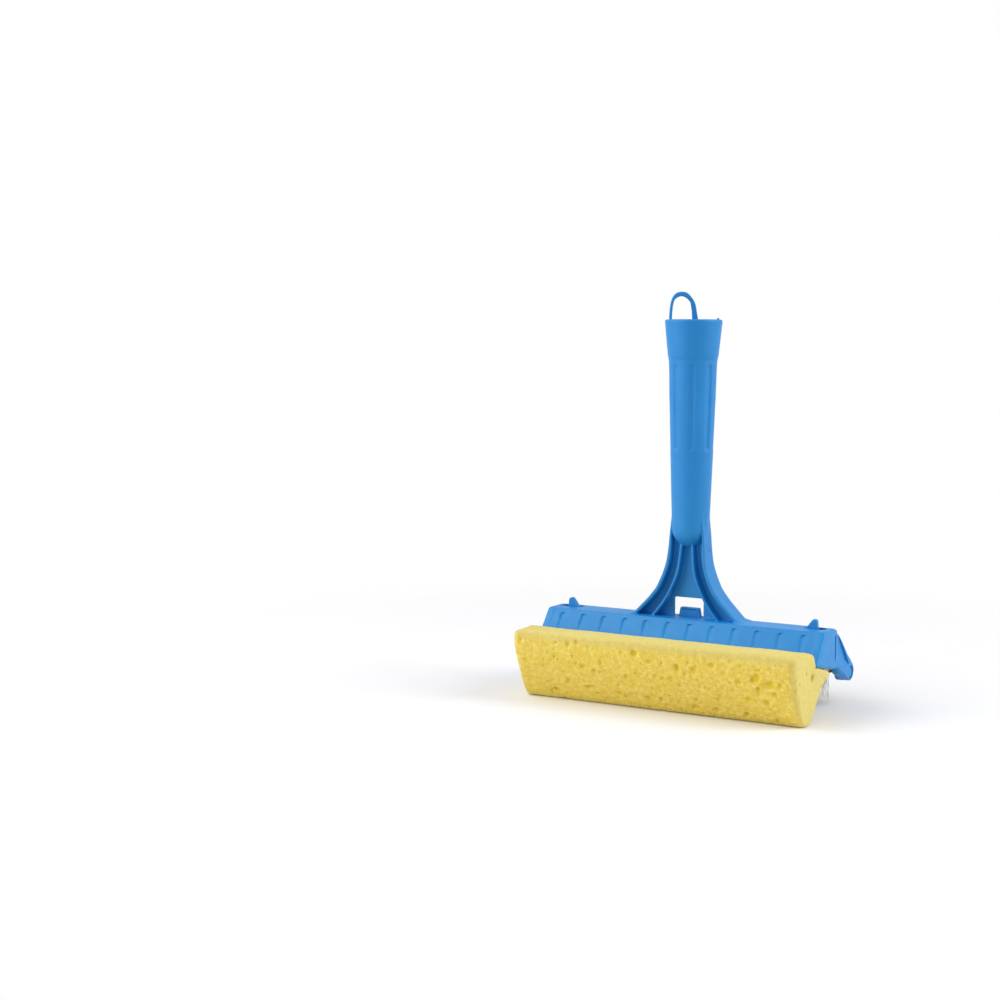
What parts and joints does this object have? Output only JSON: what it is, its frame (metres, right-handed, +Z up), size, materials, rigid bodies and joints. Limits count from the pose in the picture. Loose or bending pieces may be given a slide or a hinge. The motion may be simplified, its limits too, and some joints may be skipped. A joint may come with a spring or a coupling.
{
  "type": "window screen brush",
  "caption": "Hand brush for window screens: a hollow tapering handle on a wide head with a foam sponge in front and a twisted-wire roller brush behind.",
  "frame": {"origin": "on the floor under the middle of the head, midway between the sponge's front and the bristle tips", "axes": "+Z up along the handle, +X along the head, -Y towards the sponge, +Y towards the roller brush"},
  "size_m": [0.2, 0.1237, 0.2698],
  "materials": {
    "blue_plastic": "moulded polypropylene, satin",
    "foam": "open-cell foam with scattered pores",
    "filament": "cream nylon filament",
    "wire": "galvanised wire"
  },
  "bodies": {
    "handle": {"handle_and_head": "blue_plastic"},
    "sponge_unit": {"sponge_carrier": "blue_plastic", "sponge": "foam"},
    "brush": {"stem_wire_a": "wire", "stem_wire_b": "wire", "bristles": "filament", "ferrule_left": "blue_plastic", "ferrule_right": "blue_plastic"},
    "hanger": {"hanging_plug": "blue_plastic"}
  },
  "joints": [
    {"name": "brush_spin", "type": "hinge", "parent": "handle", "child": "brush", "pos_m": [0, 0.04025, 0.0216], "axis": [1, 0, 0], "continuous": true},
    {"name": "sponge_release", "type": "slide", "parent": "handle", "child": "sponge_unit", "axis": [0, 0, -1], "range_m": [0, 0.035]},
    {"name": "plug_pull", "type": "slide", "parent": "handle", "child": "hanger", "axis": [0, 0, 1], "range_m": [0, 0.02]}
  ]
}
